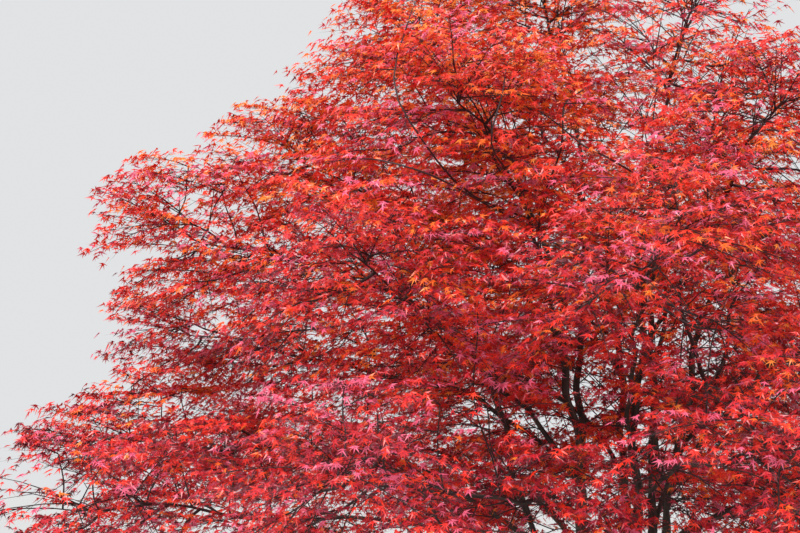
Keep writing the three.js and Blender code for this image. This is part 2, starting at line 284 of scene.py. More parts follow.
limbRows = [  # name, parent, azimuth at the foot, tier, azimuth, out, lift
    ("left_stem", "trunk", 184, "second", 196, 0.06, 0.52),
    ("crown_left_stem", "trunk", 236, "upper", 203, 0.34, 0.15),
    ("front_stem", "trunk", 288, "upper", 292, 0.06, 0.02),
    ("right_stem", "trunk", 339, "third", 343, 0.06, 0.06),
    ("back_right_stem", "trunk", 31, "upper", 22, 0.06, 0.0),
    ("back_stem", "trunk", 82, "upper", 108, 0.04, 0.06),
    ("middle_stem", "trunk", 133, "top", 160, 0.1, 0.06),
    ("left_low", "left_stem", 0, "low", 179, 0.10, 0.27),
    ("left_front_low", "left_stem", 0, "low", 207, 0.12, -0.18),
    ("front_left_low", "crown_left_stem", 0, "low", 242, 0.0, -0.04),
    ("front_low", "front_stem", 0, "low", 277, -0.08, 0.12),
    ("front_right_low", "front_stem", 0, "low", 312, 0.0, -0.12),
    ("right_low", "right_stem", 0, "low", 348, 0.06, 0.08),
    ("right_back_low", "back_right_stem", 0, "low", 24, 0.0, -0.08),
    ("back_right_low", "back_right_stem", 0, "low", 61, 0.0, 0.14),
    ("back_low", "back_stem", 0, "low", 99, -0.06, -0.06),
    ("back_left_low", "middle_stem", 0, "low", 138, -0.04, 0.3),
    ("front_left_second", "crown_left_stem", 0, "second", 228, 0.0, 0.04),
    ("front_second", "front_stem", 0, "second", 268, -0.06, 0.06),
    ("front_right_second", "right_stem", 0, "second", 311, 0.0, -0.06),
    ("right_second", "right_stem", 0, "second", 3, 0.04, 0.08),
    ("back_right_second", "back_right_stem", 0, "second", 54, 0.0, 0.0),
    ("back_second", "back_stem", 0, "second", 112, 0.0, 0.06),
    ("back_left_second", "middle_stem", 0, "second", 169, 0.19, -0.04),
    ("left_third", "crown_left_stem", 0, "third", 174, 0.12, 0.19),
    ("front_left_third", "crown_left_stem", 0, "third", 236, 0.0, 0.06),
    ("front_right_third", "front_stem", 0, "third", 296, 0.0, -0.02),
    ("back_right_third", "back_right_stem", 0, "third", 58, 0.0, 0.04),
    ("back_left_third", "back_stem", 0, "third", 118, 0.0, -0.04),
]
twigs = {
    "inset": 0.62, "pairs": (0.06, 0.5, 0.28, 0.76), "stagger": 0.08, "spread": 62, "spreadLoss": 22,
    "wobble": 20, "least": 0.06, "droop": 0.16, "spare": 0.46, "stemRadius": 0.012, "radius": 0.0095,
    "tipRadius": 0.0032, "bow": 0.06, "curl": 0.02, "turnSeeds": (81, 82), "seedStep": 0.11,
    "rings": 11, "sides": 5,
}
bends = {"sizes": (1.15, 0.46), "depths": (0.024, 0.010), "carriedTo": 0.4, "turnSeeds": (60, 70)}


def trunkRadius(t, angle):  # (waist + (foot - waist) flare + swell) round (1 + flutes that fade upwards)
    flare = np.exp(-t * trunk["height"] / trunk["flareHeight"])
    shoulder = smoothStep(t, trunk["shoulderFrom"], trunk["shoulderTo"])
    above = np.maximum(0, (t - trunk["shoulderTo"]) / (1 - trunk["shoulderTo"]))
    plain = trunk["waistRadius"] + (trunk["footRadius"] - trunk["waistRadius"]) * flare
    swell = (trunk["forkRadius"] - trunk["waistRadius"]) * shoulder
    flutes = 1 + trunk["fluteDepth"] * flare * np.cos(trunk["flutes"] * angle)
    return (plain + swell) * np.sqrt(1 - trunk["topRounding"] * above ** 2) * flutes


lean, height = trunk["lean"], trunk["height"]
trunkLine = np.array([[0, 0, 0], [0, 0, height / 3], [-lean, 0, height * 2 / 3], [-lean, 0, height]])


# curve(t) + what is left of the parent's bend + (side sin u + over sin v) depth sin(pi t), with u and v one
# turn for each bend size along the limb
def lineOf(limb, t):
    t = np.asarray(t, float)
    chord = unit(limb["curve"][3] - limb["curve"][0])
    side = sideOf(chord)
    over = np.cross(side, chord)
    shift = np.zeros(t.shape + (3,))
    for k, (size, depth) in enumerate(zip(bends["sizes"], bends["depths"])):
        u, v = (
            2 * math.pi * (t * limb["metres"] / size + chance(limb["seed"], turnSeed + k))
            for turnSeed in bends["turnSeeds"]
        )
        shift += depth * (np.sin(u)[..., None] * side + np.sin(v)[..., None] * over)
    carried = (1 - smoothStep(t, 0, bends["carriedTo"]))[..., None] * limb["carried"]
    return bezier(limb["curve"], t) + carried + shift * np.sin(math.pi * t)[..., None]


# One limb: its curve, its girth, sqrt(limbs carried) radius per tier + metres radius per metre, and the
# space of its mass, an ellipsoid |(p - middle) / half| < 1
def layOut(row, seed, laid):
    name, parentName, foot, tierName, azimuth, out, lift = row
    reach, tall, rise, halfWide, thick, roll, spring = tiers[tierName]
    grow = heading(azimuth, rise)
    middle = heading(azimuth) * (reach + out) + up * (tall + lift)
    half = np.array([halfWide, halfWide, thick])
    tip = middle - grow * twigs["inset"] / np.linalg.norm(grow / half)
    carriedBend = np.zeros(3)
    if parentName == "trunk":
        away = heading(foot)
        start = bezier(trunkLine, wood["stemStart"]) + away * wood["stemOffset"]
        leave = unit(away * (wood["leanLeast"] + wood["leanPerMetre"] * (reach + out)) + up)
    else:
        parent = next(limb for limb in laid if limb["name"] == parentName)
        steps = np.arange(*wood["forkSteps"])
        heights = bezier(parent["curve"], steps)[:, 2]
        level = trunk["height"] * (1 - spring) + middle[2] * spring
        t = steps[np.argmax(heights >= level)]
        start = bezier(parent["curve"], t)
        leave = unit(bezierSlope(parent["curve"], t) + unit(tip - start))
        carriedBend = lineOf(parent, t) - start
    length = np.linalg.norm(tip - start)
    side = sideOf(grow) * 2 * wood["sway"] * length
    curve = np.array([
        start,
        start + leave * wood["curl"] * length + side * (chance(seed, 1) - 0.5),
        tip - grow * wood["curl"] * length + side * (chance(seed, 2) - 0.5),
        tip,
    ])
    line = bezier(curve, np.linspace(0, 1, wood["lineSteps"]))
    metres = np.linalg.norm(np.diff(line, axis=0), axis=1).sum()
    carried = 1 + sum(r[1] == name for r in limbRows)
    girth = wood["radiusPerTier"] * math.sqrt(carried) + wood["radiusPerMetre"] * metres
    return {
        "name": name, "seed": seed, "stem": parentName == "trunk", "middle": middle, "half": half,
        "thick": thick, "roll": roll, "grow": bezierSlope(curve, 1), "tip": tip, "curve": curve,
        "metres": metres, "girth": girth, "carried": carriedBend,
    }


limbs = []
for seed, row in enumerate(limbRows, 1):
    limbs.append(layOut(row, seed, limbs))
say(f"{len(limbs)} limbs laid out")


# Bark: slow swellings and fine lengthwise ridges, both a share of the radius
relief = {
    "swell": 0.05, "swellSize": 0.22, "swellStretch": 0.6, "ridge": 0.035, "ridgeSize": 0.02,
    "ridgeStretch": 0.12, "ridgeSeed": 50, "collar": 0.55, "collarLength": 2.2,
}


# (girth + (tip - girth) t) (1 + collar e^(-along / its length)) (1 + swell + ridge), for each ring and side
def limbRadii(limb, t, sides):
    taper = limb["girth"] + (wood["tipRadius"] - limb["girth"]) * t
    along = t * limb["metres"]
    if limb["stem"]:
        collar = wood["collar"] * np.exp(-along / wood["collarLength"])
    else:
        collar = relief["collar"] * np.exp(-along / (relief["collarLength"] * limb["girth"]))
    a = anglesAround(sides)
    plain = (taper * (1 + collar))[:, None] * np.ones(sides)
    straight = np.stack([plain * np.cos(a), plain * np.sin(a), np.repeat(along[:, None], sides, 1)], -1)
    swellPlaces = straight * [1, 1, relief["swellStretch"]]
    ridgePlaces = straight * [1, 1, relief["ridgeStretch"]]
    swell = relief["swell"] * waves(swellPlaces, relief["swellSize"], limb["seed"])
    ridge = relief["ridge"] * waves(ridgePlaces, relief["ridgeSize"], limb["seed"] + relief["ridgeSeed"])
    return plain * (1 + swell + ridge), straight


def grainOf(straight, seed):  # p stretched + seed shift: drawn out along a limb, and elsewhere on each
    shifted = straight * [1, 1, barkLook["stretch"]] + seed * np.array(barkLook["shift"])
    ends = shifted[[0, -1]].mean(axis=1)
    return np.concatenate([shifted.reshape(-1, 3), ends])


# The chosen limbs as round tubes along their lines, from the first share of their length on
def growLimbs(chosen, first, name, material):
    parts, grains = [], []
    for limb in chosen:
        t = np.linspace(first, 1, int(limb["metres"] / wood["ringStep"]))
        radii, straight = limbRadii(limb, t, wood["sides"])
        parts.append(tubeArrays(lineOf(limb, t)[None], radii[None]))
        grains.append(grainOf(straight, limb["seed"]))
    piece = makePiece(name, *joinParts(parts), material)
    giveGrain(piece, np.concatenate(grains))
    return piece


# Trunk: the trunk and the feet of its stems remeshed into one skin, softened at the forks, then given relief
fork = {
    "share": 0.36, "voxel": 0.0115, "softening": 18, "softenBy": 0.5, "blendShare": 0.06, "rings": 60,
    "sides": 64, "footRings": 40, "footSides": 20, "thinner": 0.06, "reliefFrom": 0.05, "flatBelow": 0.006,
    "relief": ((0.014, 0.22, 0.15, 3), (0.004, 0.14, 0.024, 4)),  # depth, stretch, wave length, seed
}


# p + normal (sum of depth waves(p stretched)) over the skin, with the relief fading out at the flat cut
def growTrunk(material):
    t = np.linspace(0, 1, fork["rings"])
    radii = trunkRadius(t[:, None], anglesAround(fork["sides"])[None])
    parts = [tubeArrays(bezier(trunkLine, t)[None], radii[None])]
    for limb in limbs:
        if limb["stem"]:
            s = np.linspace(0, fork["share"], fork["footRings"])
            thin = 1 - fork["thinner"] * smoothStep(s, fork["share"] - fork["blendShare"], fork["share"])
            plain, _ = limbRadii(limb, s, fork["footSides"])
            parts.append(tubeArrays(lineOf(limb, s)[None], (plain * thin[:, None])[None]))
    rough = makePiece("trunk_bark", *joinParts(parts), material)
    remesh = rough.modifiers.new("oneSkin", "REMESH")
    remesh.mode = "VOXEL"
    remesh.voxel_size = fork["voxel"]
    soften = rough.modifiers.new("soften", "SMOOTH")
    soften.factor = fork["softenBy"]
    soften.iterations = fork["softening"]
    shaped = bpy.data.meshes.new_from_object(rough.evaluated_get(bpy.context.evaluated_depsgraph_get()))
    rough.modifiers.clear()
    old = rough.data
    rough.data = shaped
    bpy.data.meshes.remove(old)
    shaped.name = "trunk_bark"
    n = len(shaped.vertices)
    co, normal = np.zeros(n * 3), np.zeros(n * 3)
    shaped.vertices.foreach_get("co", co)
    shaped.vertices.foreach_get("normal", normal)
    co, normal = co.reshape(-1, 3), normal.reshape(-1, 3)
    rise = smoothStep(co[:, 2], 0.0, fork["reliefFrom"])
    bumps = sum(
        depth * waves(co * [1, 1, stretch], size, number) for depth, stretch, size, number in fork["relief"]
    )
    co = co + normal * (bumps * rise)[:, None]
    co[:, 2] = np.where(co[:, 2] < fork["flatBelow"], 0.0, co[:, 2])
    shaped.vertices.foreach_set("co", co.ravel())
    shaped.polygons.foreach_set("use_smooth", np.full(len(shaped.polygons), True))
    shaped.update()
    giveGrain(rough, co * [1, 1, barkLook["stretch"]])
    say(f"trunk skin: {len(shaped.polygons)} faces")
    return rough


# The space of each mass
space = {"heightWeight": np.array([1.0, 1.0, 1.5]), "neighboursWithin": 3.2, "step": 0.02, "steps": 130}
outerEdges = {  # a mass with a straight outer edge ends where (p - point) . normal = 0
    "crown_left_stem": ((-2.33, 0, 4.08), (-0.751, 0, 0.66)),
    "left_low": ((-4.03, 0, 1.84), (-0.549, 0, 0.836)),
}


# Least of (1 - |(p - m) / half|) thick, (|p - o|^2 - |p - m|^2) / 2 |o - m| for each other middle o, where
# heights count heightWeight times, and the distance to the mass's outer edge
def roomAt(limb, points):
    weight = space["heightWeight"]
    room = (1 - np.linalg.norm((points - limb["middle"]) / limb["half"], axis=-1)) * limb["thick"]
    here = np.sum(((points - limb["middle"]) * weight) ** 2, axis=-1)
    for other in limbs:
        apart = np.linalg.norm((other["middle"] - limb["middle"]) * weight)
        if 0 < apart < space["neighboursWithin"]:
            there = np.sum(((points - other["middle"]) * weight) ** 2, axis=-1)
            room = np.minimum(room, (there - here) / (2 * apart))
    if limb["name"] in outerEdges:
        point, normal = outerEdges[limb["name"]]
        room = np.minimum(room, -(points - point) @ normal)
    return room


def reachAlong(limb, p, d):  # how far one can go from p along d with room left
    far = np.arange(1, space["steps"]) * space["step"]
    inside = roomAt(limb, p + far[:, None] * d) > 0
    return far[np.argmin(inside)] - space["step"] if not inside.all() else far[-1]


# Twigs, and the buds from which sprays grow

# One twig, with its bow (side cos a + over sin a) bow length, and its curl in the same way with b
def makeTwig(start, end, foot, seed):
    way = unit(end - start)
    side = sideOf(way)
    over = np.cross(side, way)
    a, b = (2 * math.pi * chance(seed, turnSeed) for turnSeed in twigs["turnSeeds"])
    long = np.linalg.norm(end - start)
    bow = (side * math.cos(a) + over * math.sin(a)) * twigs["bow"] * long
    curl = (side * math.cos(b) + over * math.sin(b)) * twigs["curl"] * long
    return {"start": start, "end": end, "foot": foot, "tip": twigs["tipRadius"], "bow": bow, "curl": curl}


def onTwig(twig, t):  # start + (end - start) t + bow sin(pi t) + curl sin(3 pi t)
    bent = twig["bow"] * np.sin(math.pi * t) + twig["curl"] * np.sin(3 * math.pi * t)
    return twig["start"] + (twig["end"] - twig["start"]) * t + bent


spray = {  # sides are the share of the twig and the roll of each spray beside it
    "length": 0.52, "width": 0.38, "least": 0.16, "spread": 50, "twist": 44, "lean": 30, "sag": 0.16,
    "sides": ((0.66, 34), (0.33, 214), (0.12, 34), (0.85, 214), (0.5, 146), (0.76, -30)),
    "steepest": (-0.4, 0.6), "shorter": 0.12, "leanSeed": 40, "twistSeed": 20,
    "axisRadius": 0.0046, "axisTaper": 0.7, "axisRings": 4, "axisSides": 3,
}
innerTwigs = {  # leafy twigs all along the outer part of each limb, alternately to either side
    "stemFrom": 0.3, "boughFrom": 0.2, "to": 0.97, "step": 0.19, "within": (0.2, 0.8), "spread": (34, 64),
    "length": (0.28, 0.70), "lowest": 1.22, "turn": 137.5, "flat": 32, "sides": ((0.62, 34), (0.3, 214)),
    "radius": 0.0048, "seedStep": 0.07, "spraySeedStep": 0.37,
}
bays = {"kept": 0.14, "lines": (  # open ways through the foliage: both ends of each and its radius
    ((-0.60, -3.0, 2.01), (-0.10, 1.0, 2.28), 0.20), ((0.03, -3.0, 2.17), (0.64, -0.3, 2.41), 0.18),
    ((-0.81, -3.2, 1.47), (-0.22, 3.0, 1.33), 0.15), ((-0.19, -3.2, 1.51), (1.03, 3.0, 1.41), 0.16),
    ((-1.08, -3.4, 1.90), (-0.84, 1.0, 2.13), 0.18), ((-0.70, -2.5, 2.76), (-0.35, 1.0, 3.36), 0.15),
    ((-0.14, -3.61, 2.12), (0.36, -1.31, 2.32), 0.17), ((-0.23, -3.64, 2.32), (0.18, -1.66, 2.58), 0.13),
    ((-0.02, -3.64, 2.32), (0.46, -1.66, 2.58), 0.13),
    ((-3.13, -3.02, 1.61), (-4.63, 2.34, 1.61), 0.17), ((-2.95, -3.02, 1.61), (-4.28, 2.34, 1.63), 0.15),
    ((-2.79, -3.03, 1.62), (-3.99, 2.34, 1.63), 0.10),
)}
risers = {  # twigs that stand up, on the limbs and at the given shares of each mass's stem
    "from": 0.34, "step": 0.34, "tilt": (6, 34), "length": (0.55, 1.35), "lowest": 1.5, "radius": 0.0056,
    "parts": (1.0, 0.86, 0.7, 0.52), "turn": 137.5, "rise": 14, "spare": 0.16, "inside": 0.2,
    "shares": (0.15, 0.5, 0.85), "fullerShares": (0.04, 0.22, 0.4, 0.6, 0.8, 0.96),
    "fuller": ("left_stem", "left_third", "left_low", "left_front_low"),
    "massParts": 3, "massRise": (62, 20), "turnSeed": 90, "riseSeed": 95, "massSeedStep": 0.23,
    "within": (0.1, 0.9), "seedStep": 0.19, "spraySeedStep": 0.41,
}
leaders = {"sideAt": 0.84, "taper": 0.6, "sprayLength": 0.36, "turn": 50, "seedStep": 0.31, "twigs": (
    # long bare twigs that stand up at the front: limb, share of its length, middle, end and foot radius
    ("front_left_third", 0.8, (-1.27, -2.11, 3.41), (-1.36, -1.98, 4.06), 0.0066),
    ("front_left_third", 1.0, (-0.91, -2.14, 3.39), (-0.82, -1.96, 3.81), 0.0066),
    ("front_left_third", 0.97, (-0.92, -1.50, 3.70), (-1.11, -2.14, 3.92), 0.0066),
    ("front_left_third", 0.6, (-0.51, -1.83, 3.43), (-0.44, -1.92, 3.71), 0.0066),
    ("front_left_third", 0.75, (-1.22, -2.12, 3.22), (-1.58, -1.92, 3.36), 0.0066),
    ("front_stem", 0.86, (-0.26, -1.86, 3.38), (-0.52, -1.78, 3.59), 0.0066),
    ("front_right_second", 0.42, (0.30, -1.32, 2.37), (0.15, -1.68, 2.70), 0.0150),
    ("front_right_second", 0.42, (0.48, -1.33, 2.39), (0.50, -1.68, 2.69), 0.0140),
)}
openTo = {  # the share of shoots left out where the sky shows between the twigs
    "front_stem": 0.66, "back_right_stem": 0.66, "front_right_third": 0.24, "right_stem": 0.3,
    "middle_stem": 0.36, "back_stem": 0.5, "front_left_low": 0.12, "front_low": 0.16,
    "front_right_low": 0.14,
}


def sharesBetween(first, last, count, within):  # first + (last - first) (k + random) / count
    steps = (np.arange(count) + dice.uniform(*within, count)) / max(count, 1)
    return first + (last - first) * steps


def twistOf(seed, number):  # (chance - 1/2) twist, in degrees
    return (chance(seed, number) - 0.5) * spray["twist"]


# The twigs and sprays of one mass: a stem on from the limb's tip, side twigs in pairs, and risers. A spray is
# (root, along, length, twist), and is as long as the space along it, up to its full length.
def growMass(limb):
    lines, buds = [], []
    start = limb["tip"]
    end = start + limb["grow"] * (reachAlong(limb, start, limb["grow"]) - twigs["spare"])
    stemTwig = makeTwig(start, end, twigs["stemRadius"], limb["seed"])
    lines.append(stemTwig)
    buds.append((end, limb["grow"]))
    for i, share in enumerate(twigs["pairs"]):
        wobble = (chance(limb["seed"], i) - 0.5) * twigs["wobble"]
        turned = (-1 if i % 2 else 1) * limb["roll"] + wobble
        for hand in (0, 180):
            root = onTwig(stemTwig, share + (twigs["stagger"] if hand else 0))
            along = branchOff(limb["grow"], twigs["spread"] - twigs["spreadLoss"] * share, hand + turned)
            length = reachAlong(limb, root, along) - twigs["spare"]
            if length < twigs["least"]:
                buds.append((root, along))
                continue
            tip = root + along * length - up * twigs["droop"] * length
            onwards = unit(tip - root)
            twig = makeTwig(root, tip, twigs["radius"], limb["seed"] + twigs["seedStep"] * len(lines))
            lines.append(twig)
            buds.append((tip, onwards))
            for part, side in spray["sides"]:
                buds.append((onTwig(twig, part), branchOff(onwards, spray["spread"], side)))
    least, more = risers["massRise"]
    for i, share in enumerate(risers["fullerShares" if limb["name"] in risers["fuller"] else "shares"]):
        root = onTwig(stemTwig, share)
        turn = 360 * chance(limb["seed"], i + risers["turnSeed"])
        along = heading(turn, least + more * chance(limb["seed"], i + risers["riseSeed"]))
        length = reachAlong(limb, root, along) - risers["spare"]
        if length > twigs["least"]:
            seed = limb["seed"] + risers["massSeedStep"] * i
            twig = makeTwig(root, root + along * length, risers["radius"], seed)
            lines.append(twig)
            for k, part in enumerate(risers["parts"][:risers["massParts"]]):
                way = heading(risers["turn"] * (k + 2 * i) + turn, risers["rise"])
                buds.append((onTwig(twig, part), way))
    sprays = []
    for i, (root, along) in enumerate(buds):
        leanBy = (chance(limb["seed"], i + spray["leanSeed"]) - 0.5) * spray["lean"]
        along = branchOff(along, leanBy, 90)
        along = unit(np.append(along[:2], np.clip(along[2], *spray["steepest"])))
        length = min(spray["length"], reachAlong(limb, root, along))
        if length > spray["least"]:
            sprays.append((root, along, length, twistOf(limb["seed"], i + spray["twistSeed"])))
    return lines, sprays


def growInner(limb):  # the leafy twigs along one limb, with sprays at their tips and sides
    lines, sprays = [], []
    first = innerTwigs["stemFrom"] if limb["stem"] else innerTwigs["boughFrom"]
    count = int((innerTwigs["to"] - first) * limb["metres"] / innerTwigs["step"])
    shares = sharesBetween(first, innerTwigs["to"], count, innerTwigs["within"])
    roots = lineOf(limb, shares)
    slopes = bezierSlope(limb["curve"], shares)
    spreads = dice.uniform(*innerTwigs["spread"], count)
    lengths = dice.uniform(*innerTwigs["length"], count)
    rolls = dice.uniform(-innerTwigs["flat"], innerTwigs["flat"], count)
    for k in range(count):
        if roots[k, 2] < innerTwigs["lowest"]:
            continue
        roll = innerTwigs["turn"] * k if limb["stem"] else 180 * (k % 2) + rolls[k]
        along = branchOff(slopes[k], spreads[k], roll)
        tip = roots[k] + along * lengths[k] - up * twigs["droop"] * lengths[k]
        onwards = unit(tip - roots[k])
        twig = makeTwig(roots[k], tip, innerTwigs["radius"], limb["seed"] + innerTwigs["seedStep"] * k)
        lines.append(twig)
        buds = [(tip, onwards)]
        for part, side in innerTwigs["sides"]:
            buds.append((onTwig(twig, part), branchOff(onwards, spray["spread"], side)))
        for i, (root, way) in enumerate(buds):
            twist = twistOf(limb["seed"] + innerTwigs["spraySeedStep"] * k, i + spray["twistSeed"])
            sprays.append((root, way, spray["length"] * (1 - spray["shorter"] * i), twist))
    return lines, sprays


def insideCrown(point):  # true where |(p - m) / half| < 1 for one mass or more
    return min(np.linalg.norm((point - limb["middle"]) / limb["half"]) for limb in limbs) < 1


# The thin twigs that stand up from one limb and bear sprays on their upper part, and the limb's leaders
def growRisers(limb):
    lines, sprays = [], []
    count = int(limb["metres"] * (1 - risers["from"]) / risers["step"])
    shares = sharesBetween(risers["from"], 1, count, risers["within"])
    turns = dice.uniform(0, 360, count)
    tilts = dice.uniform(*risers["tilt"], count)
    lengths = dice.uniform(*risers["length"], count)
    for k, root in enumerate(lineOf(limb, shares)):
        along = heading(turns[k], 90 - tilts[k])
        tip = root + along * lengths[k]
        if root[2] < risers["lowest"] or not insideCrown(tip + along * risers["inside"]):
            continue
        twig = makeTwig(root, tip, risers["radius"], limb["seed"] + risers["seedStep"] * k)
        lines.append(twig)
        for i, part in enumerate(risers["parts"]):
            way = heading(turns[k] + risers["turn"] * i, risers["rise"])
            twist = twistOf(limb["seed"] + risers["spraySeedStep"] * k, i)
            sprays.append((onTwig(twig, part), way, spray["length"] * (1 - spray["shorter"] * i), twist))
    for k, (name, share, middle, end, radius) in enumerate(leaders["twigs"]):
        if name == limb["name"]:
            root, end = lineOf(limb, share), np.array(end)
            twig = makeTwig(root, end, radius, limb["seed"] + leaders["seedStep"] * k)
            twig["bow"] = middle - (root + end) / 2 + twig["curl"]  # its line passes the given middle
            twig["tip"] = radius * leaders["taper"]
            lines.append(twig)
            inwards = heading(90 + leaders["turn"] * (1 - 2 * (k % 2)), risers["rise"])
            sprays.append((onTwig(twig, leaders["sideAt"]), inwards, leaders["sprayLength"], 0.0))
            sprays.append((end, unit(end - onTwig(twig, leaders["sideAt"])), leaders["sprayLength"], 0.0))
    return lines, sprays


shoot = {  # pairs of shoots on a spray, leaves on a shoot, and by how much each is off its place
    "pairs": 6, "leaves": 5, "first": 0.6, "offPlace": 0.03, "spread": 52, "closing": 0.35, "offSpread": 9,
    "rise": (-0.18, 0.12), "footWidth": 0.25, "fullWidth": 1.05, "fullest": 0.75, "lengths": (0.8, 1.15),
    "leafTurn": 48, "offLeafTurn": 1.1, "radius": 0.0021,
}


# The shoots and leaves of many sprays at once. A spray's axis is p(s) = root + along L s - up sag L s^2. Its
# shoots leave in pairs at even steps of s, each as long as the spray is wide there over sin(its angle), and
# carry leaves at even steps.
def fillSprays(sprays):
    root, along, length, twist = (np.array(column)[:, None, None] for column in zip(*sprays))
    length, twist = length[..., None], np.radians(twist)[..., None]
    level = sideOf(along)
    side = level * np.cos(twist) + np.cross(level, along) * np.sin(twist)
    pairs = shoot["pairs"]
    s = ((np.arange(pairs) + shoot["first"]) / pairs)[None, :, None, None]
    s = s + dice.uniform(-shoot["offPlace"], shoot["offPlace"], (len(sprays), pairs, 1, 1))
    hand = np.array([-1.0, 1.0])[None, None, :, None]
    offSpread = dice.uniform(-shoot["offSpread"], shoot["offSpread"], (len(sprays), pairs, 2, 1))
    angle = np.radians(shoot["spread"] * (1 - shoot["closing"] * s) + offSpread)
    ahead = along - up * 2 * spray["sag"] * s
    shootRoot = root + along * length * s - up * spray["sag"] * length * s ** 2
    rise = up * dice.uniform(*shoot["rise"], angle.shape)
    shootWay = unit(ahead * np.cos(angle) + side * hand * np.sin(angle) + rise)
    fullness = shoot["footWidth"] + shoot["fullWidth"] * np.sin(math.pi * s ** shoot["fullest"])
    wide = spray["width"] / 2 * length / spray["length"] * fullness
    shootLong = wide / np.sin(angle) * dice.uniform(*shoot["lengths"], angle.shape)
    n = shoot["leaves"]
    part = ((np.arange(n) + 1.0) / n)[None, None, None, :, None]
    leafRoot = shootRoot[:, :, :, None] + shootWay[:, :, :, None] * shootLong[:, :, :, None] * part
    turn = np.where(np.arange(n) == n - 1, 0.0, np.where(np.arange(n) % 2, 1.0, -1.0))
    offTurn = dice.uniform(-shoot["offLeafTurn"], shoot["offLeafTurn"], leafRoot.shape[:-1] + (1,))
    turn = turn[None, None, None, :, None] * math.radians(shoot["leafTurn"]) + offTurn
    way = shootWay[:, :, :, None] * np.ones_like(leafRoot)
    beside = unit(np.cross(up, way))
    leafWay = way * np.cos(turn) + beside * np.sin(turn)
    shoots = (np.broadcast_to(shootRoot, shootWay.shape), shootRoot + shootWay * shootLong)
    sprayOf = np.broadcast_to(np.arange(len(sprays))[:, None, None, None], leafRoot.shape[:-1])
    shootNumbers = np.arange(shootWay[..., 0].size).reshape(shootWay.shape[:-1])[..., None]
    shootOf = np.broadcast_to(shootNumbers, leafRoot.shape[:-1])
    return shoots, leafRoot.reshape(-1, 3), leafWay.reshape(-1, 3), sprayOf.ravel(), shootOf.ravel()


def inBays(points):  # true where the distance to a bay's line is under its radius
    inside = np.full(len(points), False)
    for a, b, radius in bays["lines"]:
        a, b = np.array(a), np.array(b)
        along = np.clip((points - a) @ (b - a) / np.sum((b - a) ** 2), 0, 1)[:, None]
        inside |= np.linalg.norm(points - a - along * (b - a), axis=1) < radius
    return inside


# How far leaves and shoots keep from the limbs, and leaves from their mass's limit
gaps = {"leafRoom": 0.02, "leafToLimb": 0.03, "shootToLimb": 0.01, "samples": 60, "margin": 0.2}


def clearOfLimbs(points, gap):  # true where |p - limb(t)| - radius(t) > gap for all limbs and samples t
    clear = np.full(len(points), True)
    t = np.linspace(0, 1, gaps["samples"])
    for limb in limbs:
        line = lineOf(limb, t)
        radius = limb["girth"] + (wood["tipRadius"] - limb["girth"]) * t
        low, high = line.min(0) - gaps["margin"], line.max(0) + gaps["margin"]
        near = np.flatnonzero(np.all((points > low) & (points < high), axis=1))
        if len(near):
            distance = np.linalg.norm(points[near][:, None] - line[None], axis=-1) - radius
            clear[near] &= distance.min(axis=1) > gap
    return clear


# Leaf: pointed lobes round the stalk's end, x ahead, y aside, z up. Each lobe is one long triangle with its
# foot across the middle, and its tip hangs. A form gives its lobes' angles and lengths on one side.
leaf = {
    "reach": 0.053, "sizes": (0.70, 1.14), "finerFront": 0.16, "finerOver": (1.2, 3.4), "lobeHalf": 0.1,
    "lobeTilt": 0.5, "tipDrop": 0.13, "rise": 0.3, "stalk": 0.42, "stalkHalf": 0.016, "levelled": 0.3,
    "droop": (2, 50), "roll": 36, "tilt": (0.0, 0.65), "sevenShare": 0.14,
    "forms": (
        {"lobes": (0, 40, 84), "lengths": (1.0, 0.91, 0.68)},
        {"lobes": (0, 34, 68, 108), "lengths": (1.0, 0.94, 0.76, 0.46)},
    ),
}


# Corners and triangles of one leaf, with its longest lobe as the unit. A lobe's tip is at
# (far cos a, far sin a, -drop far^2), and its foot reaches lobeHalf (-sin a, cos a, tilt) either way.
def leafShape(form):
    lobes, lengths = np.array(form["lobes"]), np.array(form["lengths"])
    turns = np.radians(np.concatenate([-lobes[:0:-1], lobes]))
    far = np.concatenate([lengths[:0:-1], lengths])
    tips = np.stack([far * np.cos(turns), far * np.sin(turns), -leaf["tipDrop"] * far ** 2], axis=1)
    tilt = leaf["lobeTilt"] * np.cos(math.pi * np.arange(len(turns)))
    across = leaf["lobeHalf"] * np.stack([-np.sin(turns), np.cos(turns), tilt], axis=1)
    stalkEnd = np.array([-leaf["stalk"], 0.0, -leaf["rise"]])
    stalk = np.array([[0.0, -leaf["stalkHalf"], 0.0], [0.0, leaf["stalkHalf"], 0.0], stalkEnd])
    corners = np.concatenate([np.stack([tips, across, -across], axis=1).reshape(-1, 3), stalk])
    return corners, np.arange(len(corners)).reshape(-1, 3)


# Each of the chosen leaves hangs by its droop, is rolled about its middle lobe and then tilted to face
# outwards: ahead = flat cos d - up sin d, above' = above cos r - aside sin r + outwards tilt
def leafArrays(chosen, form):
    droop, roll = leafDroops[chosen, None], leafRolls[chosen, None]
    flat = unit(leafWays[chosen] * [1, 1, leaf["levelled"]])
    ahead = unit(flat * np.cos(droop) - up * np.sin(droop))
    aside = -sideOf(ahead)
    above = np.cross(ahead, aside)
    above = above * np.cos(roll) - aside * np.sin(roll)
    above = unit(above + unit(leafRoots[chosen] * [1, 1, 0]) * leafTilts[chosen, None])
    aside = unit(np.cross(above, ahead))
    ahead = np.cross(aside, above)
    scale = (leaf["reach"] * leafSizes[chosen])[:, None]
    middle = leafRoots[chosen] + (flat * leaf["stalk"] + up * leaf["rise"]) * scale
    corners, triangles = leafShape(form)
    verts = middle[:, None] + corners @ (np.stack([ahead, aside, above], axis=1) * scale[..., None])
    faces = triangles[None] + (np.arange(len(chosen)) * len(corners))[:, None, None]
    return verts.reshape(-1, 3), faces.reshape(-1, 3)


